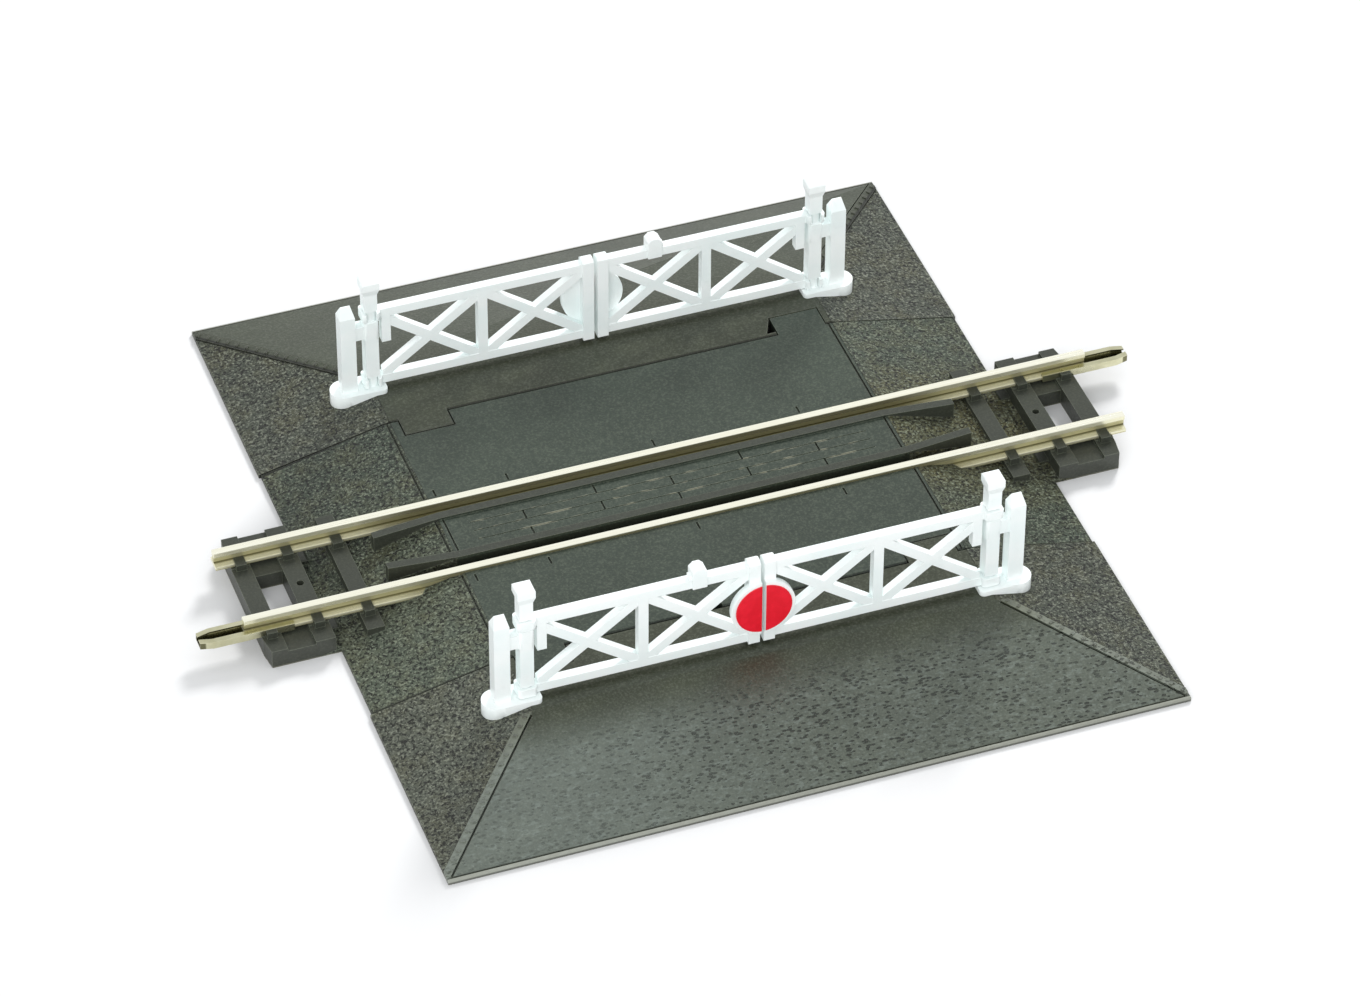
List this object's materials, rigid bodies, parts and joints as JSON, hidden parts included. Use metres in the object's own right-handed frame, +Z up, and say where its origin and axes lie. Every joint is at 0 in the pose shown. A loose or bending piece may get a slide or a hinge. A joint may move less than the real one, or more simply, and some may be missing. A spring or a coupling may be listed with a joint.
{
  "type": "model railway level crossing",
  "caption": "Small-gauge model railway level crossing: straight track through a moulded road slab, clip-on road ramps and white swing gates with red targets.",
  "frame": {"origin": "on the track centre line, halfway along the rails, on the flat underside", "axes": "+X along the rails, +Y across the railway along the road, +Z up"},
  "size_m": [0.0956, 0.0804, 0.0167],
  "materials": {
    "base_plastic": "moulded satin olive green grey, fine stone grain on the verges",
    "ramp_plastic": "moulded satin brown grey, fine grain",
    "rail_metal": "drawn nickel silver, warm and bright on the head",
    "joiner_metal": "folded plated sheet, slightly dull",
    "gate_plastic": "bright cool white moulded plastic, satin gloss",
    "target_red": "thin red self-adhesive label"
  },
  "bodies": {
    "crossing": {"track_base": "base_plastic", "rail_front": "rail_metal", "rail_rear": "rail_metal", "joiner_left": "joiner_metal", "joiner_right": "joiner_metal", "ramp_front": "ramp_plastic", "ramp_rear": "ramp_plastic", "gate_post_front_left": "gate_plastic", "gate_post_front_right": "gate_plastic", "gate_post_rear_left": "gate_plastic", "gate_post_rear_right": "gate_plastic"},
    "gate_front_left": {"gate_leaf_front_left": "gate_plastic", "target_label_front_left": "target_red", "lamp_front_left": "gate_plastic"},
    "gate_front_right": {"gate_leaf_front_right": "gate_plastic", "target_label_front_right": "target_red"},
    "gate_rear_left": {"gate_leaf_rear_left": "gate_plastic", "target_label_rear_left": "target_red"},
    "gate_rear_right": {"gate_leaf_rear_right": "gate_plastic", "target_label_rear_right": "target_red", "lamp_rear_right": "gate_plastic"}
  },
  "joints": [
    {"name": "swing_front_left", "type": "hinge", "parent": "crossing", "child": "gate_front_left", "pos_m": [-0.0224, -0.0229, 0.0045], "axis": [0, 0, 1], "range_deg": [0, 90]},
    {"name": "swing_front_right", "type": "hinge", "parent": "crossing", "child": "gate_front_right", "pos_m": [0.0224, -0.0229, 0.0045], "axis": [0, 0, -1], "range_deg": [0, 90]},
    {"name": "swing_rear_left", "type": "hinge", "parent": "crossing", "child": "gate_rear_left", "pos_m": [-0.0224, 0.0229, 0.0045], "axis": [0, 0, -1], "range_deg": [0, 90]},
    {"name": "swing_rear_right", "type": "hinge", "parent": "crossing", "child": "gate_rear_right", "pos_m": [0.0224, 0.0229, 0.0045], "axis": [0, 0, 1], "range_deg": [0, 90]}
  ]
}
